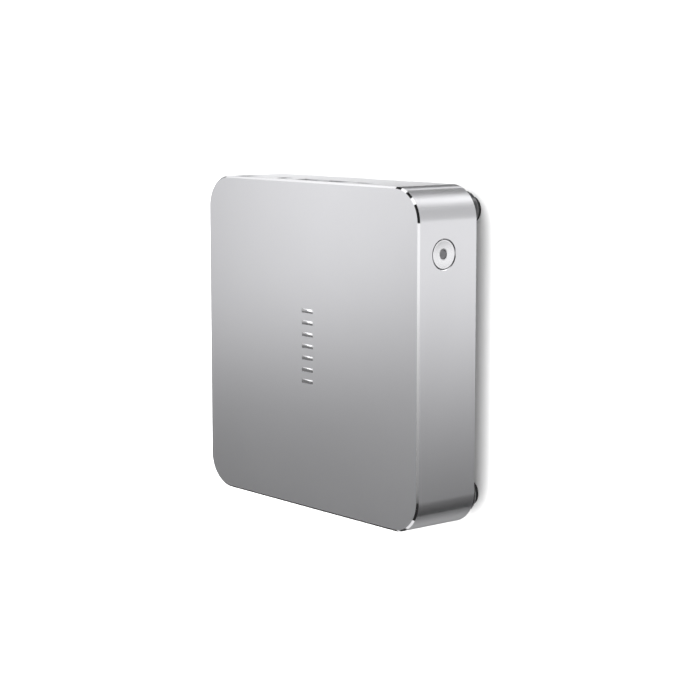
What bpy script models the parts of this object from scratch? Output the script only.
"""Mini PC: an aluminium shell, a black base on four feet, and the board, cooler and sockets inside.

Metres, +Z up. The origin is on the ground under the middle. The front sockets face -Y, the power
button faces -X, the rear sockets face +Y and the fan outlet faces +X.
"""
import math

import bmesh
import bpy
from mathutils import Vector

MM = 0.001

# Overall size
SIDE = 128.0 * MM
HEIGHT = 38.0 * MM
CORNER = 12.8 * MM
FOOT_LIFT = 9.1 * MM
WALL = 2.2 * MM
LID = 2.0 * MM
CHAMFER = 0.7 * MM
CORNER_SEGMENTS = 10

# Clearances
GAP = 0.3 * MM
SEAT = 0.1 * MM
EMBED = 0.5 * MM

# Feet, base and its screws
FOOT_TO_WALL = 0.4 * MM
FOOT_TO_CORNER = 0.3 * MM
BOSS_RADIUS = 7.2 * MM
BOSS_HEIGHT = 5.8 * MM
PAD_RADIUS = 5.1 * MM
PAD_SUNK = 0.9 * MM
COVER = 2.0 * MM
COVER_RECESS = 0.3 * MM
PLINTH_INSET = 9.0 * MM
PLINTH_DEPTH = 2.5 * MM
POCKET_INSET = 18.0 * MM
VENT_COUNT = 20
VENT_PITCH = 4.0 * MM
VENT_WIDTH = 2.2 * MM
VENT_LENGTH = 72.0 * MM
MESH = 0.3 * MM
PILLAR_RADIUS = 4.2 * MM
SCREW_RADIUS = 1.25 * MM
SCREW_HEAD_RADIUS = 2.6 * MM
SCREW_HEAD = 1.8 * MM
SCREW_GRIP = 6.0 * MM
KEY_DEPTH = 1.0 * MM

# Board and its screws
BOARD_DROP = 1.9 * MM
BOARD = 1.2 * MM
BOARD_MARGIN = 3.8 * MM
BOARD_TO_PILLAR = 1.5 * MM
BOARD_BOSS_RADIUS = 2.6 * MM
BOARD_SCREW_RADIUS = 0.9 * MM
BOARD_SCREW_HEAD_RADIUS = 2.1 * MM
BOARD_SCREW_HEAD = 1.2 * MM
BOARD_SCREW_GRIP = 2.0 * MM

# Front sockets, from the middle of the front wall
PORT_DROP = 7.2 * MM
MOUTH_SET_BACK = 0.7 * MM
USB_A_MIDDLE = -1.6 * MM
USB_A_SPACE = 2.7 * MM
USB_C_SPACE = 4.3 * MM
AUDIO_SPACE = 6.6 * MM
USB_A_WIDTH = 13.1 * MM
USB_A_HEIGHT = 5.7 * MM
USB_A_DEPTH = 13.0 * MM
USB_C_WIDTH = 8.9 * MM
USB_C_HEIGHT = 3.2 * MM
USB_C_DEPTH = 7.6 * MM
SOCKET_WALL = 0.35 * MM
AUDIO_SNOUT_RADIUS = 2.8 * MM
AUDIO_BORE_RADIUS = 1.8 * MM
AUDIO_DEPTH = 12.0 * MM
AUDIO_WIDTH = 6.5 * MM
AUDIO_HEIGHT = 5.6 * MM

# Rear sockets, from the middle of the rear wall
DC_X = -22.0 * MM
HDMI_X = -5.0 * MM
LAN_X = 14.5 * MM
USB_STACK_X = 33.5 * MM
REAR_SET_BACK = 0.8 * MM
DC_SIZE = (9.0 * MM, 14.0 * MM, 11.0 * MM)
HDMI_SIZE = (15.0 * MM, 12.0 * MM, 5.6 * MM)
LAN_SIZE = (16.0 * MM, 16.0 * MM, 13.5 * MM)
USB_STACK_SIZE = (14.5 * MM, 17.5 * MM, 15.6 * MM)
IO_MARGIN = 2.0 * MM
IO_LIP = 1.3 * MM
IO_PLATE = 1.2 * MM

# Power button, on the left wall
BUTTON_FROM_FRONT = 24.5 * MM
BUTTON_DROP = 12.5 * MM
BUTTON_RADIUS = 5.4 * MM
BUTTON_GAP = 0.3 * MM
BUTTON_FLANGE = 1.3 * MM
BUTTON_FLANGE_THICK = 1.0 * MM
BUTTON_TRAVEL = 0.5 * MM
BUTTON_DISH = 0.35 * MM
BUTTON_RIM = 0.6 * MM
GUIDE_RADIUS = 1.72 * MM
GUIDE_TAIL = 2.4 * MM
CARRIER_WALL = 1.1 * MM
CARRIER_ARM = 2.0 * MM
SWITCH_BODY = (3.3 * MM, 6.0 * MM, 6.0 * MM)
PLUNGER_RADIUS = 1.5 * MM
PLUNGER_LENGTH = 2.9 * MM
PLUNGER_OUT = 2.2 * MM
BUTTON_BOARD = (1.0 * MM, 16.0 * MM, 13.0 * MM)
RIBBON_WIDTH = 6.0 * MM
RIBBON = 0.25 * MM

# Processor and cooler, from the inside of the right wall
CPU = (30.0 * MM, 26.0 * MM, 1.4 * MM)
PLATE = (44.0 * MM, 42.0 * MM, 1.8 * MM)
PIPE_THICK = 2.6 * MM
PIPE_WIDTH = 7.0 * MM
FIN_STACK_WIDTH = 11.0 * MM
FIN_STACK_LENGTH = 48.0 * MM
FIN_PLATE = 1.0 * MM
FIN_PITCH = 2.0 * MM
FIN = 0.6 * MM
COOLER_Y = 17.0 * MM
FAN_RADIUS = 20.0 * MM
FAN_HEIGHT = 11.2 * MM
FAN_SIDE = 1.4 * MM
FAN_FLOOR = 1.2 * MM
FAN_SWEEP = 2.0 * MM
FAN_INTAKE_RADIUS = 15.0 * MM
FAN_LIFT = 0.8 * MM
FAN_COVER = 0.8 * MM
HUB_RADIUS = 10.5 * MM
BLADE = 0.8 * MM
BLADE_COUNT = 29
BLADE_LEAN = math.radians(32.0)
SHAFT_RADIUS = 1.0 * MM
SHAFT_PLAY = 0.12 * MM
FAN_POST_RADIUS = 2.0 * MM
OUTLET_COUNT = 16
OUTLET_PITCH = 2.8 * MM
OUTLET_WIDTH = 1.5 * MM

# Memory, along the left wall
MEMORY_SOCKET = (6.5 * MM, 70.0 * MM, 4.1 * MM)
MEMORY_CARD = (30.0 * MM, 67.6 * MM, 1.0 * MM)
MEMORY_Y = 12.5 * MM
MEMORY_FROM_LEFT = 2.0 * MM
CARD_BITE = 1.8 * MM
LATCH_THICK = 1.0 * MM
LATCH_LENGTH = 14.0 * MM
LATCH_TALL = 3.0 * MM
NIB = 1.1 * MM

# Solid-state drive, across the front, and wireless card, at the front right
SSD_CARD = (80.0 * MM, 22.0 * MM, 0.8 * MM)
SSD_FROM_FRONT = 15.0 * MM
SSD_RIGHT_X = 34.5 * MM
M2_SOCKET_DEPTH = 5.5 * MM
M2_SOCKET_HEIGHT = 4.0 * MM
M2_CARD_DROP = 2.4 * MM
WIFI_CARD = (22.0 * MM, 30.0 * MM, 0.8 * MM)
WIFI_FROM_RIGHT = 1.0 * MM
STANDOFF_RADIUS = 2.2 * MM
ANTENNA = (34.0 * MM, 7.0 * MM, 0.4 * MM)
LEAD_RADIUS = 0.55 * MM

# Clock battery
CELL_RADIUS = 10.0 * MM
CELL = 3.2 * MM
HOLDER_WALL = 1.0 * MM

# Places worked out from the sizes above
HALF = SIDE / 2
INNER = HALF - WALL
LID_UNDER = HEIGHT - LID
COVER_Z = FOOT_LIFT + COVER_RECESS
COVER_TOP = COVER_Z + COVER
PLINTH_Z = COVER_Z - PLINTH_DEPTH
BOSS_Z = FOOT_LIFT - BOSS_HEIGHT
FLOOR_TOP = PLINTH_Z + COVER
FOOT_Y = INNER - BOSS_RADIUS - FOOT_TO_WALL
FOOT_RISE = FOOT_Y - HALF + CORNER
FOOT_ROOM = CORNER - WALL - BOSS_RADIUS - FOOT_TO_CORNER
FOOT_X = HALF - CORNER + math.sqrt(max(FOOT_ROOM**2 - FOOT_RISE**2, 0.0))
PILLAR_Z = COVER_TOP + SEAT
BOARD_TOP = LID_UNDER - BOARD_DROP
BOARD_Z = BOARD_TOP - BOARD
BOARD_HALF = INNER - BOARD_MARGIN
PARTS_Z = BOARD_Z - SEAT
PORT_Z = HEIGHT - PORT_DROP
USB_A_OUT = (USB_A_WIDTH + USB_A_SPACE) / 2
USB_A_XS = (USB_A_MIDDLE - USB_A_OUT, USB_A_MIDDLE + USB_A_OUT)
USB_C_X = USB_A_XS[0] - USB_A_WIDTH / 2 - USB_C_SPACE - USB_C_WIDTH / 2
AUDIO_X = USB_A_XS[1] + USB_A_WIDTH / 2 + AUDIO_SPACE + AUDIO_WIDTH / 2
BUTTON_Y = BUTTON_FROM_FRONT - HALF
BUTTON_Z = HEIGHT - BUTTON_DROP
FLANGE_FRONT = GAP - INNER
FLANGE_BACK = FLANGE_FRONT + BUTTON_FLANGE_THICK
BUTTON_STOP = FLANGE_BACK + BUTTON_TRAVEL + SEAT
CARRIER_BACK = BUTTON_STOP + CARRIER_ARM
CARRIER_RADIUS = BUTTON_RADIUS + BUTTON_FLANGE + GAP + CARRIER_WALL
SWITCH_FRONT = FLANGE_BACK + GUIDE_TAIL + GAP + PLUNGER_OUT
PLATE_TOP = PARTS_Z - CPU[2] - SEAT
PLATE_Z = PLATE_TOP - PLATE[2]
PIPE_TOP = PLATE_Z - SEAT
PIPE_Z = PIPE_TOP - PIPE_THICK
FIN_TOP = PIPE_Z - SEAT
FAN_Z = COVER_TOP + FAN_LIFT
FIN_RIGHT = INNER - 4 * GAP
FIN_LEFT = FIN_RIGHT - FIN_STACK_WIDTH
FAN_RIGHT = FIN_LEFT - GAP
FAN_HALF = FAN_RADIUS + FAN_SWEEP + FAN_SIDE + 2 * GAP
FAN_X = FAN_RIGHT - FAN_HALF - FAN_SWEEP
FAN_TOP = FAN_Z + FAN_HEIGHT
IO_Z = BOARD_Z - GAP - USB_STACK_SIZE[2] - IO_MARGIN
IO_TOP = BOARD_TOP + GAP
IO_LOW_X = DC_X - DC_SIZE[0] / 2 - IO_MARGIN
IO_HIGH_X = USB_STACK_X + USB_STACK_SIZE[0] / 2 + IO_MARGIN

FEET = {
    "front_left": (-FOOT_X, -FOOT_Y),
    "front_right": (FOOT_X, -FOOT_Y),
    "rear_left": (-FOOT_X, FOOT_Y),
    "rear_right": (FOOT_X, FOOT_Y),
}
BOARD_HOLES = {
    "front_left": (9.0 * MM - FOOT_X, 9.8 * MM - INNER),
    "front_right": (FOOT_X - 9.0 * MM, 9.8 * MM - INNER),
    "rear_left": (IO_LOW_X - 4.0 * MM, INNER - 11.8 * MM),
    "rear_right": (IO_HIGH_X + 3.5 * MM, INNER - 13.8 * MM),
}

# Colour, roughness and metallic value of each finish
FINISHES = {
    "aluminium": ((0.72, 0.72, 0.74), 0.32, 1.0),
    "button_metal": ((0.86, 0.86, 0.88), 0.18, 1.0),
    "base_plastic": ((0.03, 0.03, 0.032), 0.35, 0.0),
    "black_plastic": ((0.02, 0.02, 0.022), 0.5, 0.0),
    "rubber": ((0.015, 0.015, 0.016), 0.8, 0.0),
    "steel": ((0.55, 0.55, 0.56), 0.3, 1.0),
    "fin_metal": ((0.7, 0.71, 0.73), 0.35, 1.0),
    "copper": ((0.78, 0.42, 0.27), 0.28, 1.0),
    "board": ((0.02, 0.07, 0.04), 0.45, 0.0),
    "silicon": ((0.12, 0.12, 0.14), 0.15, 0.0),
    "light_guide": ((0.2, 0.2, 0.21), 0.2, 0.0),
    "white_plastic": ((0.8, 0.8, 0.78), 0.45, 0.0),
    "flex": ((0.5, 0.28, 0.08), 0.35, 0.0),
    "mesh": ((0.05, 0.05, 0.05), 0.7, 0.0),
}


def clear_scene():
    for old in list(bpy.data.objects):
        bpy.data.objects.remove(old)


def new_collection(name):
    made = bpy.data.collections.new(name)
    bpy.context.scene.collection.children.link(made)
    return made


def material_for(node, finish):
    color, roughness, metallic = FINISHES[finish]
    made = bpy.data.materials.new(node)
    made.use_nodes = True
    surface = made.node_tree.nodes["Principled BSDF"]
    surface.inputs["Base Color"].default_value = (*color, 1.0)
    surface.inputs["Roughness"].default_value = roughness
    surface.inputs["Metallic"].default_value = metallic
    made.diffuse_color = (*color, 1.0)
    return made


def add_object(name, data, place, finish):
    """Link new data at a place: in the parts with a finish, or in the cutters without one."""
    made = bpy.data.objects.new(name, data)
    made.location = place
    if finish is None:
        CUTTERS.objects.link(made)
        made.hide_render = True
        made.display_type = "WIRE"
    else:
        PARTS.objects.link(made)
        data.materials.append(material_for(name, finish))
    return made


def to_mesh(name, bm):
    mesh = bpy.data.meshes.new(name)
    bm.to_mesh(mesh)
    bm.free()
    return mesh


def scaled_cube(bm, low, high):
    """Add a box between two corners, as one of the boxes of a mesh."""
    middle = (Vector(low) + Vector(high)) / 2
    size = Vector(high) - Vector(low)
    verts = bmesh.ops.create_cube(bm, size=1.0)["verts"]
    for vert in verts:
        vert.co = middle + Vector(a * b for a, b in zip(vert.co, size))
    return verts


def box(name, low, high, finish=None, radius=0.0, axis=2, segments=4):
    """A box between two corners, with its edges along one axis rounded."""
    middle = (Vector(low) + Vector(high)) / 2
    bm = bmesh.new()
    scaled_cube(bm, Vector(low) - middle, Vector(high) - middle)
    if radius > 0.0:
        edges = [e for e in bm.edges if abs((e.verts[0].co - e.verts[1].co)[axis]) > 1e-6]
        bmesh.ops.bevel(bm, geom=edges, offset=radius, segments=segments, profile=0.5, affect="EDGES")
    return add_object(name, to_mesh(name, bm), middle, finish)


def boxes(name, corner_pairs, finish=None):
    """Several separate boxes in one mesh, for one cut or one union."""
    bm = bmesh.new()
    for low, high in corner_pairs:
        scaled_cube(bm, low, high)
    return add_object(name, to_mesh(name, bm), (0.0, 0.0, 0.0), finish)


def add_cylinder(bm, centre, radius, length, axis, segments):
    verts = bmesh.ops.create_cone(
        bm, cap_ends=True, segments=segments, radius1=radius, radius2=radius, depth=length
    )["verts"]
    for vert in verts:
        x, y, z = vert.co
        turned_to = {0: (z, x, y), 1: (x, z, -y), 2: (x, y, z)}[axis]
        vert.co = Vector(turned_to) + Vector(centre)


def cylinder(name, start, length, radius, axis=2, finish=None, segments=32):
    """A round bar from a start point along +X, +Y or +Z, with its origin on its axis."""
    offset = Vector((0.0, 0.0, 0.0))
    offset[axis] = length / 2
    bm = bmesh.new()
    add_cylinder(bm, offset, radius, length, axis, segments)
    return add_object(name, to_mesh(name, bm), start, finish)


def cylinders(name, places, low, high, radius, segments=24):
    """Upright round bars at several places, in one mesh, for one cut or one union."""
    bm = bmesh.new()
    for x, y in places:
        add_cylinder(bm, (x, y, (low + high) / 2), radius, high - low, 2, segments)
    return add_object(name, to_mesh(name, bm), (0.0, 0.0, 0.0), None)


def boolean(target, tool, operation):
    step = target.modifiers.new(tool.name, "BOOLEAN")
    step.operation = operation
    step.solver = "EXACT"
    step.object = tool


def cut(target, tool):
    boolean(target, tool, "DIFFERENCE")


def join(target, tool):
    boolean(target, tool, "UNION")


def turned(name, place, profile, finish, steps=32):
    """A turned piece: a profile of (radius, height) pairs, from its top to its bottom, about Z."""
    mesh = bpy.data.meshes.new(name)
    points = [(radius, 0.0, height) for radius, height in profile]
    mesh.from_pydata(points, [(i, i + 1) for i in range(len(points) - 1)], [])
    made = add_object(name, mesh, place, finish)
    spin = made.modifiers.new("turn", "SCREW")
    spin.angle = math.tau
    spin.steps = steps
    spin.render_steps = steps
    spin.use_merge_vertices = True
    spin.merge_threshold = 1e-6
    return made


def wire(name, points, radius, finish):
    """A thin round lead along a smooth way through a few points."""
    curve = bpy.data.curves.new(name, "CURVE")
    curve.dimensions = "3D"
    curve.bevel_depth = radius
    curve.bevel_resolution = 2
    curve.use_fill_caps = True
    spline = curve.splines.new("POLY")
    spline.points.add(len(points) - 1)
    for slot, point in zip(spline.points, points):
        slot.co = (*point, 1.0)
    return add_object(name, curve, (0.0, 0.0, 0.0), finish)


def smooth_way(knots, per_stretch=4):
    """Points along a Catmull-Rom curve through the knots."""
    ends = [knots[0]] + list(knots) + [knots[-1]]
    way = []
    for a, b, c, d in zip(ends, ends[1:], ends[2:], ends[3:]):
        a, b, c, d = Vector(a), Vector(b), Vector(c), Vector(d)
        for i in range(per_stretch):
            t = i / per_stretch
            bend = (2 * a - 5 * b + 4 * c - d) * t * t + (3 * b - a - 3 * c + d) * t * t * t
            way.append(b + 0.5 * ((c - a) * t + bend))
    return way + [Vector(knots[-1])]


# Casing


def front_cutters():
    """Holes through the front wall for the four sockets."""
    y_low = -HALF - WALL
    y_high = -INNER + 0.2 * WALL
    clear = GAP / 2
    made = []
    for side, x in zip(("left", "right"), USB_A_XS):
        width = USB_A_WIDTH / 2 + clear
        tall = USB_A_HEIGHT / 2 + clear
        low = (x - width, y_low, PORT_Z - tall)
        high = (x + width, y_high, PORT_Z + tall)
        made.append(box(f"usb_a_{side}_hole", low, high, radius=0.6 * MM, axis=1, segments=3))
    width = USB_C_WIDTH / 2 + clear
    tall = USB_C_HEIGHT / 2 + clear
    low = (USB_C_X - width, y_low, PORT_Z - tall)
    high = (USB_C_X + width, y_high, PORT_Z + tall)
    made.append(box("usb_c_hole", low, high, radius=0.97 * tall, axis=1, segments=6))
    start = (AUDIO_X, y_low, PORT_Z)
    made.append(cylinder("audio_hole", start, y_high - y_low, AUDIO_SNOUT_RADIUS + clear, axis=1))
    return made


def outlet_cutter():
    """Upright slots through the right wall, level with the fins."""
    span = (OUTLET_COUNT - 1) * OUTLET_PITCH
    low_z = FAN_Z + FIN_PLATE
    high_z = FIN_TOP - FIN_PLATE
    slots = []
    for i in range(OUTLET_COUNT):
        y = COOLER_Y - span / 2 + i * OUTLET_PITCH
        low = (INNER - WALL, y - OUTLET_WIDTH / 2, low_z)
        slots.append((low, (HALF + WALL, y + OUTLET_WIDTH / 2, high_z)))
    return boxes("outlet_slots", slots)


def make_housing():
    low = (-HALF, -HALF, FOOT_LIFT)
    housing = box("housing", low, (HALF, HALF, HEIGHT), "aluminium", CORNER, segments=CORNER_SEGMENTS)
    chamfer_top(housing.data)
    cavity_low = (-INNER, -INNER, FOOT_LIFT - WALL)
    cavity_high = (INNER, INNER, LID_UNDER)
    inner_corner = CORNER - WALL
    cut(housing, box("cavity", cavity_low, cavity_high, radius=inner_corner, segments=CORNER_SEGMENTS))
    embedded = LID_UNDER + EMBED
    join(housing, cylinders("pillars", FEET.values(), PILLAR_Z, embedded, PILLAR_RADIUS))
    boss_z = BOARD_TOP + GAP
    join(housing, cylinders("board_bosses", BOARD_HOLES.values(), boss_z, embedded, BOARD_BOSS_RADIUS))
    tapped = SCREW_RADIUS + SEAT
    depth = PILLAR_Z + SCREW_GRIP + 1.0 * MM
    cut(housing, cylinders("pillar_holes", FEET.values(), PILLAR_Z - EMBED, depth, tapped, 16))
    tapped = BOARD_SCREW_RADIUS + SEAT
    depth = BOARD_TOP + BOARD_SCREW_GRIP + GAP
    cut(housing, cylinders("boss_holes", BOARD_HOLES.values(), boss_z - EMBED, depth, tapped, 12))
    for tool in front_cutters():
        cut(housing, tool)
    start = (-HALF - WALL, BUTTON_Y, BUTTON_Z)
    hole_radius = BUTTON_RADIUS + BUTTON_GAP
    cut(housing, cylinder("button_hole", start, 2.2 * WALL, hole_radius, axis=0, segments=40))
    low = (IO_LOW_X, INNER - WALL, IO_Z)
    high = (IO_HIGH_X, HALF + WALL, IO_TOP)
    cut(housing, box("io_hole", low, high, radius=1.0 * MM, axis=1, segments=3))
    cut(housing, outlet_cutter())


def chamfer_top(mesh):
    """Cut the chamfer round the lid's edge."""
    bm = bmesh.new()
    bm.from_mesh(mesh)
    top = max(vert.co.z for vert in bm.verts)
    edges = [
        e
        for e in bm.edges
        if all(top - v.co.z < 1e-6 for v in e.verts) and any(abs(f.normal.z) < 0.5 for f in e.link_faces)
    ]
    bmesh.ops.bevel(bm, geom=edges, offset=CHAMFER, segments=1, affect="EDGES")
    bm.to_mesh(mesh)
    bm.free()


def vent_slots(name, low_z, high_z):
    span = (VENT_COUNT - 1) * VENT_PITCH
    slots = []
    for i in range(VENT_COUNT):
        x = -span / 2 + i * VENT_PITCH
        low = (x - VENT_WIDTH / 2, -VENT_LENGTH / 2, low_z)
        slots.append((low, (x + VENT_WIDTH / 2, VENT_LENGTH / 2, high_z)))
    return boxes(name, slots)


def make_bottom_cover():
    edge = INNER - GAP
    corner = CORNER - WALL - GAP
    low = (-edge, -edge, COVER_Z)
    cover = box("bottom_cover", low, (edge, edge, COVER_TOP), "base_plastic", corner, segments=8)
    plinth = HALF - PLINTH_INSET
    top = COVER_Z + EMBED
    join(cover, box("plinth", (-plinth, -plinth, PLINTH_Z), (plinth, plinth, top), radius=CORNER / 2))
    join(cover, cylinders("foot_bosses", FEET.values(), BOSS_Z, top, BOSS_RADIUS, 40))
    pocket = HALF - POCKET_INSET
    low = (-pocket, -pocket, FLOOR_TOP)
    cut(cover, box("pocket", low, (pocket, pocket, COVER_TOP + COVER), radius=2.0 * MM))
    cut(cover, vent_slots("vents", PLINTH_Z - COVER, FLOOR_TOP + EMBED))
    pad_hole = PAD_RADIUS + SEAT
    cut(cover, cylinders("pad_seats", FEET.values(), BOSS_Z - COVER, BOSS_Z + PAD_SUNK + SEAT, pad_hole, 32))
    head_top = BOSS_Z + PAD_SUNK + 2 * GAP + SCREW_HEAD + SEAT
    head_hole = SCREW_HEAD_RADIUS + GAP
    cut(cover, cylinders("head_seats", FEET.values(), BOSS_Z - COVER, head_top, head_hole))
    cut(cover, cylinders("cover_holes", FEET.values(), BOSS_Z, COVER_TOP + COVER, SCREW_RADIUS + GAP, 16))


def make_dust_mesh():
    half = HALF - POCKET_INSET - GAP
    low_z = FLOOR_TOP + SEAT
    mesh = box("dust_mesh", (-half, -half, low_z), (half, half, low_z + MESH), "mesh", 2.0 * MM)
    rows = int((2 * half - VENT_PITCH) / VENT_PITCH)
    slots = []
    for i in range(rows):
        y = (i - (rows - 1) / 2) * VENT_PITCH
        low = (-half + VENT_PITCH / 2, y - VENT_WIDTH / 2, low_z - MESH)
        slots.append((low, (half - VENT_PITCH / 2, y + VENT_WIDTH / 2, low_z + 2 * MESH)))
    cut(mesh, boxes("mesh_slots", slots))


def make_feet():
    for corner, (x, y) in FEET.items():
        top = BOSS_Z + PAD_SUNK
        edge = 0.4 * MM
        profile = [(0.0, top), (PAD_RADIUS, top), (PAD_RADIUS, edge), (PAD_RADIUS - edge, 0.0), (0.0, 0.0)]
        turned(f"foot_{corner}", (x, y, 0.0), profile, "rubber", 32)


def screw(name, place, head, shank, key_depth, finish):
    """A cap screw, head down: head and shank are (radius, length) pairs."""
    profile = [
        (0.0, head[1] + shank[1]),
        (shank[0], head[1] + shank[1]),
        (shank[0], head[1]),
        (head[0], head[1]),
        (head[0], 0.0),
        (0.5 * head[0], 0.0),
        (0.4 * head[0], key_depth),
        (0.0, key_depth),
    ]
    return turned(name, place, profile, finish, 16)


def make_cover_screws():
    head_z = BOSS_Z + PAD_SUNK + 2 * GAP
    shank = PILLAR_Z + SCREW_GRIP - head_z - SCREW_HEAD
    for corner, (x, y) in FEET.items():
        head = (SCREW_HEAD_RADIUS, SCREW_HEAD)
        screw(f"cover_screw_{corner}", (x, y, head_z), head, (SCREW_RADIUS, shank), KEY_DEPTH, "steel")


def make_rear_io_plate():
    """A plate that fills the hole in the rear wall, with a lip behind the wall."""
    face = HALF - GAP
    low = (IO_LOW_X + GAP, INNER - IO_PLATE, IO_Z + GAP)
    high = (IO_HIGH_X - GAP, face, IO_TOP - GAP)
    plate = box("rear_io_plate", low, high, "black_plastic", 0.8 * MM, axis=1, segments=3)
    low = (IO_LOW_X - IO_LIP, INNER - GAP - IO_PLATE, IO_Z - IO_LIP)
    high = (IO_HIGH_X + IO_LIP, INNER - GAP, IO_TOP + IO_LIP)
    join(plate, box("io_lip", low, high))
    holes = []
    for x, size in rear_sockets().values():
        top = PARTS_Z + SEAT
        low = (x - size[0] / 2 - GAP, INNER - 3 * IO_PLATE, top - size[2] - 2 * SEAT)
        holes.append((low, (x + size[0] / 2 + GAP, HALF + WALL, top + GAP)))
    cut(plate, boxes("io_sockets", holes))


# Sockets


def rear_sockets():
    return {
        "dc_jack": (DC_X, DC_SIZE),
        "hdmi_port": (HDMI_X, HDMI_SIZE),
        "lan_port": (LAN_X, LAN_SIZE),
        "rear_usb_stack": (USB_STACK_X, USB_STACK_SIZE),
    }


def rear_body(name, finish):
    x, size = rear_sockets()[name]
    mouth = HALF - REAR_SET_BACK
    low = (x - size[0] / 2, mouth - size[1], PARTS_Z - size[2])
    return box(name, low, (x + size[0] / 2, mouth, PARTS_Z), finish), low, mouth


def make_rear_sockets():
    jack, low, mouth = rear_body("dc_jack", "black_plastic")
    centre_z = PARTS_Z - DC_SIZE[2] / 2
    cut(jack, cylinder("dc_bore", (DC_X, mouth - 9.5 * MM, centre_z), 12.0 * MM, 3.0 * MM, axis=1))
    pin_start = (DC_X, mouth - 10.0 * MM, centre_z)
    join(jack, cylinder("dc_pin", pin_start, 8.5 * MM, 1.2 * MM, axis=1, segments=16))

    hdmi, low, mouth = rear_body("hdmi_port", "steel")
    wall = 0.45 * MM
    inner_low = (low[0] + wall, mouth - 10.0 * MM, low[2] + wall)
    inner_high = (low[0] + HDMI_SIZE[0] - wall, mouth + WALL, PARTS_Z - wall)
    cut(hdmi, box("hdmi_mouth", inner_low, inner_high))
    tongue_z = PARTS_Z - HDMI_SIZE[2] / 2
    low = (HDMI_X - 5.8 * MM, mouth - 11.0 * MM, tongue_z - 0.6 * MM)
    join(hdmi, box("hdmi_tongue", low, (HDMI_X + 5.8 * MM, mouth - 1.5 * MM, tongue_z + 0.6 * MM)))

    lan, low, mouth = rear_body("lan_port", "steel")
    bottom = low[2] + 1.2 * MM
    low = (LAN_X - 5.9 * MM, mouth - 13.0 * MM, bottom + 2.0 * MM)
    cut(lan, box("lan_mouth", low, (LAN_X + 5.9 * MM, mouth + WALL, bottom + 10.2 * MM)))
    low = (LAN_X - 3.0 * MM, mouth - 12.0 * MM, bottom)
    cut(lan, box("lan_latch_way", low, (LAN_X + 3.0 * MM, mouth + WALL, bottom + 3.0 * MM)))

    stack, low, mouth = rear_body("rear_usb_stack", "steel")
    for level, base in (("lower", low[2] + 1.2 * MM), ("upper", low[2] + 8.7 * MM)):
        low_corner = (USB_STACK_X - 6.5 * MM, mouth - 12.5 * MM, base)
        high_corner = (USB_STACK_X + 6.5 * MM, mouth + WALL, base + 5.4 * MM)
        cut(stack, box(f"usb_{level}_mouth", low_corner, high_corner))
        low_corner = (USB_STACK_X - 5.5 * MM, mouth - 13.0 * MM, base + 2.9 * MM)
        high_corner = (USB_STACK_X + 5.5 * MM, mouth - 1.5 * MM, base + 4.8 * MM)
        join(stack, box(f"usb_{level}_tongue", low_corner, high_corner))


def make_usb_a(side, x):
    mouth = MOUTH_SET_BACK - HALF
    width = USB_A_WIDTH / 2
    tall = USB_A_HEIGHT / 2
    low = (x - width, mouth, PORT_Z - tall)
    high = (x + width, mouth + USB_A_DEPTH, PORT_Z + tall)
    shell = box(f"usb_a_{side}_shell", low, high, "steel", 0.5 * MM, axis=1, segments=2)
    low = (x - width + SOCKET_WALL, mouth - WALL, PORT_Z - tall + SOCKET_WALL)
    high = (x + width - SOCKET_WALL, mouth + USB_A_DEPTH + WALL, PORT_Z + tall - SOCKET_WALL)
    cut(shell, box(f"usb_a_{side}_mouth", low, high))
    inset = SOCKET_WALL + SEAT
    low = (x - width + inset, mouth + USB_A_DEPTH - 3.0 * MM, PORT_Z - tall + inset)
    high = (x + width - inset, mouth + USB_A_DEPTH - SEAT, PORT_Z + tall - inset)
    tongue = box(f"usb_a_{side}_tongue", low, high, "black_plastic")
    low = (x - 5.5 * MM, mouth + 1.2 * MM, PORT_Z + 0.2 * MM)
    high = (x + 5.5 * MM, mouth + USB_A_DEPTH - 2.0 * MM, PORT_Z + 2.0 * MM)
    join(tongue, box(f"usb_a_{side}_blade", low, high))


def make_usb_c():
    mouth = MOUTH_SET_BACK - HALF
    width = USB_C_WIDTH / 2
    tall = USB_C_HEIGHT / 2
    low = (USB_C_X - width, mouth, PORT_Z - tall)
    high = (USB_C_X + width, mouth + USB_C_DEPTH, PORT_Z + tall)
    shell = box("usb_c_shell", low, high, "steel", 0.97 * tall, axis=1, segments=6)
    width -= SOCKET_WALL
    tall -= SOCKET_WALL
    low = (USB_C_X - width, mouth - WALL, PORT_Z - tall)
    high = (USB_C_X + width, mouth + USB_C_DEPTH + WALL, PORT_Z + tall)
    cut(shell, box("usb_c_mouth", low, high, radius=0.97 * tall, axis=1, segments=6))
    width -= SEAT
    tall -= SEAT
    low = (USB_C_X - width, mouth + USB_C_DEPTH - 2.0 * MM, PORT_Z - tall)
    high = (USB_C_X + width, mouth + USB_C_DEPTH - SEAT, PORT_Z + tall)
    tongue = box("usb_c_tongue", low, high, "black_plastic", 0.97 * tall, axis=1, segments=4)
    low = (USB_C_X - 3.3 * MM, mouth + 1.0 * MM, PORT_Z - 0.35 * MM)
    high = (USB_C_X + 3.3 * MM, mouth + USB_C_DEPTH - 1.0 * MM, PORT_Z + 0.35 * MM)
    join(tongue, box("usb_c_blade", low, high))


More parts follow.
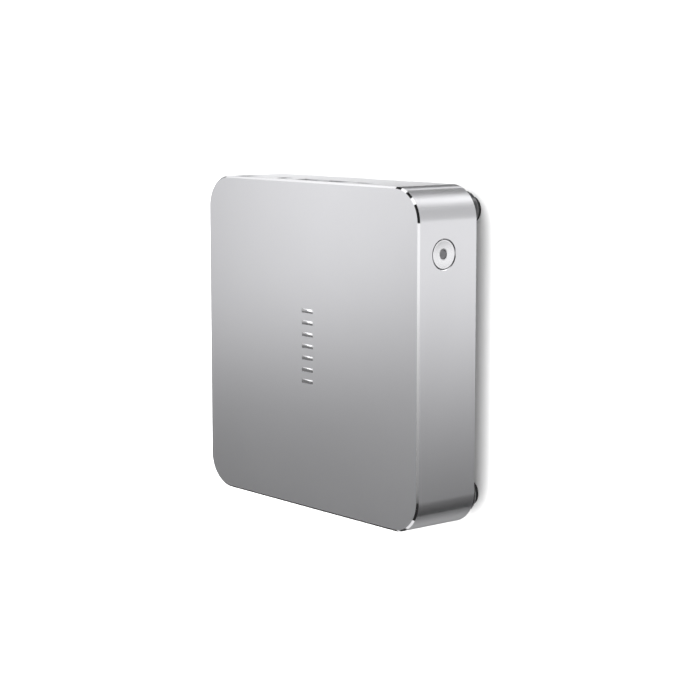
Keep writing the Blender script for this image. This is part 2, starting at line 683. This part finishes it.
def make_audio_jack():
    back = -INNER + AUDIO_DEPTH
    low = (AUDIO_X - AUDIO_WIDTH / 2, -INNER + GAP, PORT_Z - AUDIO_HEIGHT / 2)
    high = (AUDIO_X + AUDIO_WIDTH / 2, back, PORT_Z + AUDIO_HEIGHT / 2)
    jack = box("audio_jack", low, high, "black_plastic")
    mouth = MOUTH_SET_BACK - HALF
    snout = -INNER + 2 * GAP - mouth
    join(jack, cylinder("audio_snout", (AUDIO_X, mouth, PORT_Z), snout, AUDIO_SNOUT_RADIUS, axis=1))
    bore = AUDIO_DEPTH + WALL - 1.0 * MM
    start = (AUDIO_X, mouth - WALL, PORT_Z)
    cut(jack, cylinder("audio_bore", start, bore + WALL, AUDIO_BORE_RADIUS, axis=1, segments=24))


# Power button


def make_power_button():
    """The cap and its light guide, which share one axis along X."""
    face = SEAT - HALF
    centre = (face, BUTTON_Y, BUTTON_Z)
    cap = cylinder("power_button", centre, FLANGE_BACK - face, BUTTON_RADIUS, 0, "button_metal", 40)
    start = (FLANGE_FRONT, BUTTON_Y, BUTTON_Z)
    flange_radius = BUTTON_RADIUS + BUTTON_FLANGE
    join(cap, cylinder("cap_flange", start, BUTTON_FLANGE_THICK, flange_radius, 0, segments=32))
    start = (face - WALL, BUTTON_Y, BUTTON_Z)
    cut(cap, cylinder("cap_dish", start, WALL + BUTTON_DISH, BUTTON_RADIUS - BUTTON_RIM, 0))
    cut(cap, cylinder("guide_hole", start, 4 * WALL, GUIDE_RADIUS + SEAT, 0, segments=24))
    start = (face + BUTTON_DISH + SEAT, BUTTON_Y, BUTTON_Z)
    tail = FLANGE_BACK + GUIDE_TAIL
    cylinder("button_light_guide", start, tail - start[0], GUIDE_RADIUS, 0, "light_guide", 24)


def make_button_carrier():
    """The ring that the cap slides in, with two arms back to the button board."""
    start = (FLANGE_FRONT, BUTTON_Y, BUTTON_Z)
    length = CARRIER_BACK - FLANGE_FRONT
    carrier = cylinder("button_carrier", start, length, CARRIER_RADIUS, 0, "black_plastic", 32)
    board_front = SWITCH_FRONT + SWITCH_BODY[0] + SEAT
    arms = []
    for side in (-1, 1):
        inner_y = BUTTON_Y + side * (SWITCH_BODY[1] / 2 + 2 * GAP)
        outer_y = BUTTON_Y + side * BUTTON_BOARD[1] / 2
        low = (start[0], min(inner_y, outer_y), BUTTON_Z - CARRIER_ARM)
        high = (board_front - SEAT, max(inner_y, outer_y), BUTTON_Z + CARRIER_ARM)
        arms.append((low, high))
    join(carrier, boxes("carrier_arms", arms))
    start = (-HALF, BUTTON_Y, BUTTON_Z)
    bore = CARRIER_RADIUS - CARRIER_WALL
    cut(carrier, cylinder("flange_way", start, BUTTON_STOP + HALF, bore, 0, segments=32))
    cut(carrier, cylinder("guide_way", start, CARRIER_BACK + HALF + MM, GUIDE_RADIUS + 2 * GAP, 0))


def make_switch():
    front = SWITCH_FRONT
    half_y = SWITCH_BODY[1] / 2
    half_z = SWITCH_BODY[2] / 2
    low = (front, BUTTON_Y - half_y, BUTTON_Z - half_z)
    high = (front + SWITCH_BODY[0], BUTTON_Y + half_y, BUTTON_Z + half_z)
    body = box("tact_switch", low, high, "black_plastic", 0.4 * MM, axis=0, segments=1)
    hole = PLUNGER_LENGTH - PLUNGER_OUT + BUTTON_TRAVEL + GAP
    start = (front - MM, BUTTON_Y, BUTTON_Z)
    cut(body, cylinder("plunger_hole", start, MM + hole, PLUNGER_RADIUS + SEAT, 0, segments=24))
    start = (front - PLUNGER_OUT, BUTTON_Y, BUTTON_Z)
    cylinder("switch_plunger", start, PLUNGER_LENGTH, PLUNGER_RADIUS, 0, "white_plastic", 24)
    board_x = front + SWITCH_BODY[0] + SEAT
    half_y = BUTTON_BOARD[1] / 2
    half_z = BUTTON_BOARD[2] / 2
    low = (board_x, BUTTON_Y - half_y, BUTTON_Z - half_z)
    box("button_board", low, (board_x + BUTTON_BOARD[0], BUTTON_Y + half_y, BUTTON_Z + half_z), "board")
    make_ribbon(board_x + BUTTON_BOARD[0] + GAP)


def make_ribbon(start_x):
    """A flat flexible lead from the button board up to the main board."""
    end_x = start_x + 3.0 * MM
    end_z = PARTS_Z - 2 * RIBBON
    bend = 2.0 * MM
    way = [(start_x, BUTTON_Z - 2.0 * MM), (start_x, end_z - bend)]
    for i in range(1, 6):
        turn = math.radians(90.0 * i / 6)
        way.append((start_x + bend * (1 - math.cos(turn)), end_z - bend + bend * math.sin(turn)))
    way += [(start_x + bend, end_z), (end_x, end_z)]
    bm = bmesh.new()
    near = [bm.verts.new((x, BUTTON_Y - RIBBON_WIDTH / 2, z)) for x, z in way]
    far = [bm.verts.new((x, BUTTON_Y + RIBBON_WIDTH / 2, z)) for x, z in way]
    for a, b, c, d in zip(near, near[1:], far[1:], far):
        bm.faces.new((a, b, c, d))
    ribbon = add_object("button_ribbon", to_mesh("button_ribbon", bm), (0.0, 0.0, 0.0), "flex")
    skin = ribbon.modifiers.new("skin", "SOLIDIFY")
    skin.thickness = RIBBON
    skin.offset = 0.0


# Board


def make_motherboard():
    half = BOARD_HALF
    board = box("motherboard", (-half, -half, BOARD_Z), (half, half, BOARD_TOP), "board")
    notches = []
    for x, y in FEET.values():
        side_x = math.copysign(1.0, x)
        side_y = math.copysign(1.0, y)
        inner_x = x - side_x * (PILLAR_RADIUS + BOARD_TO_PILLAR)
        inner_y = y - side_y * (PILLAR_RADIUS + BOARD_TO_PILLAR)
        low = (min(inner_x, side_x * HALF), min(inner_y, side_y * HALF), BOARD_Z - BOARD)
        high = (max(inner_x, side_x * HALF), max(inner_y, side_y * HALF), BOARD_TOP + BOARD)
        notches.append((low, high))
    cut(board, boxes("board_corners", notches))
    behind = MOUTH_SET_BACK - HALF + USB_A_DEPTH + GAP
    below = BOARD_Z - BOARD
    above = BOARD_TOP + BOARD
    ways = []
    for x in USB_A_XS:
        half_way = USB_A_WIDTH / 2 + GAP
        ways.append(((x - half_way, -HALF, below), (x + half_way, behind, above)))
    half_way = AUDIO_WIDTH / 2 + GAP
    behind = -INNER + AUDIO_DEPTH + GAP
    ways.append(((AUDIO_X - half_way, -HALF, below), (AUDIO_X + half_way, behind, above)))
    half_way = CARRIER_RADIUS + GAP
    low = (-HALF, BUTTON_Y - half_way, below)
    ways.append((low, (CARRIER_BACK + GAP, BUTTON_Y + half_way, above)))
    cut(board, boxes("socket_notches", ways))
    hole = BOARD_SCREW_RADIUS + GAP
    places = BOARD_HOLES.values()
    cut(board, cylinders("board_holes", places, BOARD_Z - BOARD, BOARD_TOP + BOARD, hole, 16))


def make_board_screws():
    head_z = PARTS_Z - BOARD_SCREW_HEAD
    shank = BOARD_TOP + BOARD_SCREW_GRIP - PARTS_Z
    head = (BOARD_SCREW_HEAD_RADIUS, BOARD_SCREW_HEAD)
    for corner, (x, y) in BOARD_HOLES.items():
        screw(f"board_screw_{corner}", (x, y, head_z), head, (BOARD_SCREW_RADIUS, shank), 0.7 * MM, "steel")


def make_memory():
    """The socket, the card that slides into it, and the two latches that hold the card's sides."""
    right = MEMORY_FROM_LEFT - INNER + MEMORY_CARD[0] - CARD_BITE + MEMORY_SOCKET[0]
    left = right - MEMORY_SOCKET[0]
    half = MEMORY_SOCKET[1] / 2
    bottom = PARTS_Z - MEMORY_SOCKET[2]
    low = (left, MEMORY_Y - half, bottom)
    socket = box("memory_socket", low, (right, MEMORY_Y + half, PARTS_Z), "black_plastic")
    card_z = bottom + 0.9 * MM
    card_half = MEMORY_CARD[1] / 2
    card_low = (left + CARD_BITE - MEMORY_CARD[0], MEMORY_Y - card_half, card_z)
    card_high = (left + CARD_BITE, MEMORY_Y + card_half, card_z + MEMORY_CARD[2])
    box("memory_module", card_low, card_high, "board")
    low = (left - MM, MEMORY_Y - card_half - SEAT, card_z - SEAT)
    high = (left + CARD_BITE + SEAT, MEMORY_Y + card_half + SEAT, card_high[2] + SEAT)
    cut(socket, box("memory_slot", low, high))
    for name, side in (("front", -1), ("rear", 1)):
        make_memory_latch(name, side, left - GAP, MEMORY_Y + side * (half - LATCH_THICK / 2), card_z)


def make_memory_latch(name, side, pivot_x, pivot_y, card_z):
    """A sprung arm beside the card, with its origin on its pivot and a nib under the card's edge."""
    bm = bmesh.new()
    half = LATCH_THICK / 2
    bottom = -LATCH_TALL / 2
    scaled_cube(bm, (-LATCH_LENGTH, -half, bottom), (0.0, half, -bottom))
    middle_z = card_z - 2 * GAP - 0.5 * MM + LATCH_TALL / 2
    arm = add_object(
        f"memory_latch_{name}", to_mesh(f"memory_latch_{name}", bm), (pivot_x, pivot_y, middle_z), "steel"
    )
    tip = pivot_x - LATCH_LENGTH
    reach = pivot_y - side * (half + NIB)
    top = card_z - SEAT
    low = (tip, min(reach, pivot_y), top - 0.8 * MM)
    high = (tip + 2.5 * MM, max(reach, pivot_y), top)
    join(arm, box(f"latch_nib_{name}", low, high))


def m2_socket(name, low, high, slot_low, slot_high):
    socket = box(name, low, high, "black_plastic")
    cut(socket, box(f"{name}_slot", slot_low, slot_high))


def make_ssd():
    y = SSD_FROM_FRONT + WALL - HALF
    top = PARTS_Z - M2_CARD_DROP
    right = SSD_RIGHT_X
    low = (right - SSD_CARD[0], y, top - SSD_CARD[2])
    high = (right, y + SSD_CARD[1], top)
    card = box("ssd", low, high, "board")
    socket_left = right - CARD_BITE
    socket_low = (socket_left, y - SEAT, PARTS_Z - M2_SOCKET_HEIGHT)
    socket_high = (socket_left + M2_SOCKET_DEPTH, high[1] + SEAT, PARTS_Z)
    slot_low = (socket_left - MM, y - MM, low[2] - SEAT)
    slot_high = (right + SEAT, high[1] + MM, high[2] + SEAT)
    m2_socket("ssd_socket", socket_low, socket_high, slot_low, slot_high)
    middle = (low[0], y + SSD_CARD[1] / 2)
    cut(card, cylinders("ssd_notch", [middle], low[2] - MM, top + MM, BOARD_SCREW_RADIUS + GAP, 16))
    post_z = top + SEAT
    standoff = cylinder("ssd_standoff", (*middle, post_z), PARTS_Z - post_z, STANDOFF_RADIUS, 2, "steel", 24)
    bore = BOARD_SCREW_RADIUS + SEAT
    cut(standoff, cylinders("standoff_bore", [middle], post_z - MM, PARTS_Z - GAP, bore, 12))
    head_top = low[2] - SEAT
    shank = PARTS_Z - 2 * GAP - head_top
    place = (*middle, head_top - BOARD_SCREW_HEAD)
    head = (BOARD_SCREW_HEAD_RADIUS, BOARD_SCREW_HEAD)
    screw("ssd_screw", place, head, (BOARD_SCREW_RADIUS, shank), 0.7 * MM, "steel")


def wifi_place():
    """The wireless card's low corner."""
    right = INNER - WIFI_FROM_RIGHT
    top = PARTS_Z - M2_CARD_DROP
    y = SSD_FROM_FRONT + WALL - HALF
    return (right - WIFI_CARD[0], y, top - WIFI_CARD[2])


def make_wifi():
    low = wifi_place()
    high = tuple(a + b for a, b in zip(low, WIFI_CARD))
    box("wifi_card", low, high, "board")
    front = high[1] - CARD_BITE
    socket_low = (low[0] - SEAT, front, PARTS_Z - M2_SOCKET_HEIGHT)
    socket_high = (high[0] + SEAT, front + M2_SOCKET_DEPTH, PARTS_Z)
    slot_low = (low[0] - MM, front - MM, low[2] - SEAT)
    slot_high = (high[0] + MM, high[1] + SEAT, high[2] + SEAT)
    m2_socket("wifi_socket", socket_low, socket_high, slot_low, slot_high)


def make_antennas():
    """Flat antennas on the base, which is plastic and lets radio through, and their leads."""
    card = wifi_place()
    z = COVER_TOP + SEAT
    off = INNER - ANTENNA[1] / 2 - 4.0 * MM
    for name, side, card_x in (("front", -1, 6.0 * MM), ("rear", 1, 12.0 * MM)):
        y = side * off
        low = (-ANTENNA[0] / 2, y - ANTENNA[1] / 2, z)
        box(f"antenna_{name}", low, (ANTENNA[0] / 2, y + ANTENNA[1] / 2, z + ANTENNA[2]), "flex")
        start = Vector((ANTENNA[0] / 2 - 2.0 * MM, y, z + ANTENNA[2] + LEAD_RADIUS + SEAT))
        end = Vector((card[0] + card_x, card[1] + 4.0 * MM, card[2] - LEAD_RADIUS - GAP))
        edge = FOOT_X - PILLAR_RADIUS - 2.6 * MM
        if side < 0:
            knots = [start, start + Vector((12.0 * MM, 0.0, 0.0))]
            knots.append(Vector((edge, y + 3.0 * MM, z + 4.0 * MM)))
            knots.append(Vector((end.x - 3.0 * MM, end.y - 5.0 * MM, end.z - 4.0 * MM)))
            knots.append(end)
        else:
            under = Vector((FAN_X - FAN_HALF - 6.0 * MM, INNER - 17.8 * MM, z + 3.0 * MM))
            knots = [start, start + Vector((4.0 * MM, -3.0 * MM, MM)), under]
            knots.append(Vector((under.x, 0.0, z + 3.0 * MM)))
            knots.append(Vector((under.x + 10.0 * MM, COOLER_Y - FAN_HALF - 8.0 * MM, z + 4.0 * MM)))
            knots.append(Vector((end.x - 6.0 * MM, end.y + 8.0 * MM, end.z - 6.0 * MM)))
            knots.append(end)
        wire(f"antenna_lead_{name}", smooth_way(knots), LEAD_RADIUS, "black_plastic")


def make_coin_cell():
    x = FAN_X - FAN_HALF - CELL_RADIUS - HOLDER_WALL - 1.2 * MM
    y = COOLER_Y + 9.0 * MM
    half = CELL_RADIUS + HOLDER_WALL
    height = CELL + 1.2 * MM
    low = (x - half, y - half, PARTS_Z - height)
    holder = box("coin_cell_holder", low, (x + half, y + half, PARTS_Z), "black_plastic", 1.5 * MM)
    start_z = PARTS_Z - height - MM
    cut(holder, cylinders("cell_pocket", [(x, y)], start_z, PARTS_Z - MM, CELL_RADIUS + SEAT, 32))
    cell_z = PARTS_Z - MM - SEAT - CELL
    cylinder("coin_cell", (x, y, cell_z), CELL, CELL_RADIUS, 2, "steel", 32)


# Processor and cooler


def make_processor():
    low = (FAN_X - CPU[0] / 2, COOLER_Y - CPU[1] / 2, PARTS_Z - CPU[2])
    box("cpu_package", low, (FAN_X + CPU[0] / 2, COOLER_Y + CPU[1] / 2, PARTS_Z), "silicon")
    low = (FAN_X - PLATE[0] / 2, COOLER_Y - PLATE[1] / 2, PLATE_Z)
    box("cold_plate", low, (FAN_X + PLATE[0] / 2, COOLER_Y + PLATE[1] / 2, PLATE_TOP), "copper", 2.0 * MM)


def make_heat_pipes():
    """Two flattened pipes under the cold plate, spreading apart over the fins."""
    for name, side in (("front", -1), ("rear", 1)):
        near = COOLER_Y + side * 6.0 * MM
        far = COOLER_Y + side * FIN_STACK_LENGTH / 4
        mid_z = (PIPE_Z + PIPE_TOP) / 2
        end_x = FIN_RIGHT - MM
        start_x = FAN_X - PLATE[0] / 2 + 3.0 * MM
        knots = [
            (start_x, near, mid_z),
            (FAN_X, near, mid_z),
            (FAN_X + PLATE[0] / 4, near, mid_z),
            (FIN_LEFT - 6.0 * MM, (near + far) / 2, mid_z),
            (FIN_LEFT, far, mid_z),
            (end_x, far, mid_z),
        ]
        way = smooth_way(knots, 3)
        across = PIPE_WIDTH / 2
        round_part = PIPE_THICK / 2
        bm = bmesh.new()
        rows = []
        for i, point in enumerate(way):
            ahead = way[min(i + 1, len(way) - 1)] - way[max(i - 1, 0)]
            out = Vector((-ahead.y, ahead.x, 0.0)).normalized()
            rows.append(pipe_section(bm, point, out, across, round_part))
        for first, second in zip(rows, rows[1:]):
            for j in range(len(first)):
                k = (j + 1) % len(first)
                bm.faces.new((first[j], first[k], second[k], second[j]))
        bm.faces.new(rows[0])
        bm.faces.new(rows[-1])
        bmesh.ops.recalc_face_normals(bm, faces=bm.faces)
        add_object(f"heat_pipe_{name}", to_mesh(f"heat_pipe_{name}", bm), (0.0, 0.0, 0.0), "copper")


def pipe_section(bm, point, out, across, round_part):
    """One flattened round section of a pipe."""
    ring = []
    for side in (1, -1):
        for i in range(5):
            turn = math.radians(-90.0 + 45.0 * i)
            off = side * (across - round_part + round_part * math.cos(turn))
            rise = side * round_part * math.sin(turn)
            ring.append(bm.verts.new(point + out * off + Vector((0.0, 0.0, rise))))
    return ring


def make_fin_stack():
    low_y = COOLER_Y - FIN_STACK_LENGTH / 2
    high_y = COOLER_Y + FIN_STACK_LENGTH / 2
    stack = box("fin_stack", (FIN_LEFT, low_y, FAN_Z), (FIN_RIGHT, high_y, FIN_TOP), "fin_metal")
    count = int((FIN_STACK_LENGTH - FIN) / FIN_PITCH)
    first = COOLER_Y - count * FIN_PITCH / 2
    slots = []
    for i in range(count):
        y = first + i * FIN_PITCH + FIN / 2
        low = (FIN_LEFT - MM, y, FAN_Z + FIN_PLATE)
        slots.append((low, (FIN_RIGHT + MM, y + FIN_PITCH - FIN, FIN_TOP - FIN_PLATE)))
    cut(stack, boxes("fin_slots", slots))


def make_fan():
    """A blower: a housing open to the fins, a cover, a fixed shaft and the rotor on it."""
    left = FAN_X - FAN_HALF
    low_y = COOLER_Y - FAN_HALF
    high_y = COOLER_Y + FAN_HALF
    low = (left, low_y, FAN_Z)
    housing = box("fan_housing", low, (FAN_RIGHT, high_y, FAN_TOP), "black_plastic", 3.0 * MM)
    sweep = FAN_RADIUS + FAN_SWEEP
    floor = FAN_Z + FAN_FLOOR
    above = FAN_TOP + MM
    centre = (FAN_X, COOLER_Y)
    cut(housing, cylinders("fan_volute", [centre], floor, above, sweep, 48))
    low = (FAN_X, COOLER_Y - 0.3 * sweep, floor)
    cut(housing, box("fan_outlet", low, (FAN_RIGHT + MM, high_y - FAN_SIDE, above)))
    cut(housing, cylinders("fan_intake", [centre], FAN_Z - MM, floor + MM, FAN_INTAKE_RADIUS, 32))
    outside = FAN_POST_RADIUS / 2
    posts = [(left + 6.0 * MM, high_y + outside), (left + 6.0 * MM, low_y - outside)]
    posts.append((FAN_RIGHT - 6.0 * MM, low_y - outside))
    join(housing, cylinders("fan_posts", posts, FAN_TOP - 4.0 * MM, PARTS_Z, FAN_POST_RADIUS, 16))

    low = (left, low_y, FAN_TOP + SEAT)
    high = (FAN_RIGHT, high_y, FAN_TOP + SEAT + FAN_COVER)
    cover = box("fan_cover", low, high, "steel", 3.0 * MM)
    cut(cover, cylinders("cover_posts", posts, low[2] - MM, high[2] + MM, FAN_POST_RADIUS + SEAT, 16))

    rotor_z = floor + 2 * GAP
    rotor_top = FAN_TOP - 2 * GAP
    shaft_z = rotor_z + MM
    shaft_length = FAN_TOP - shaft_z
    cylinder("fan_shaft", (*centre, shaft_z), shaft_length, SHAFT_RADIUS, 2, "steel", 24)
    height = rotor_top - rotor_z
    rotor = cylinder("fan_rotor", (*centre, rotor_z), height, HUB_RADIUS, 2, "black_plastic", 32)
    join(rotor, fan_blades(centre, rotor_z + GAP, rotor_top - GAP))
    bore = SHAFT_RADIUS + SHAFT_PLAY
    cut(rotor, cylinders("shaft_bore", [centre], shaft_z - 2 * GAP, rotor_top + MM, bore, 24))


def fan_blades(centre, low_z, high_z):
    """Blades that lean back from the hub to the rotor's rim, as one mesh."""
    bm = bmesh.new()
    root = HUB_RADIUS - EMBED
    length = (FAN_RADIUS - root) / math.cos(BLADE_LEAN) * 0.93
    for i in range(BLADE_COUNT):
        angle = math.tau * i / BLADE_COUNT
        for vert in scaled_cube(bm, (0.0, -BLADE / 2, low_z), (length, BLADE / 2, high_z)):
            x, y, z = vert.co
            lean_x = root + x * math.cos(BLADE_LEAN) - y * math.sin(BLADE_LEAN)
            lean_y = x * math.sin(BLADE_LEAN) + y * math.cos(BLADE_LEAN)
            turned_x = lean_x * math.cos(angle) - lean_y * math.sin(angle)
            turned_y = lean_x * math.sin(angle) + lean_y * math.cos(angle)
            vert.co = (centre[0] + turned_x, centre[1] + turned_y, z)
    return add_object("fan_blades", to_mesh("fan_blades", bm), (0.0, 0.0, 0.0), None)


clear_scene()
PARTS = new_collection("mini_pc")
CUTTERS = new_collection("mini_pc_cutters")
make_housing()
make_bottom_cover()
make_dust_mesh()
make_feet()
make_cover_screws()
make_rear_io_plate()
make_rear_sockets()
for side_name, socket_x in zip(("left", "right"), USB_A_XS):
    make_usb_a(side_name, socket_x)
make_usb_c()
make_audio_jack()
make_power_button()
make_button_carrier()
make_switch()
make_motherboard()
make_board_screws()
make_memory()
make_ssd()
make_wifi()
make_antennas()
make_coin_cell()
make_processor()
make_heat_pipes()
make_fin_stack()
make_fan()
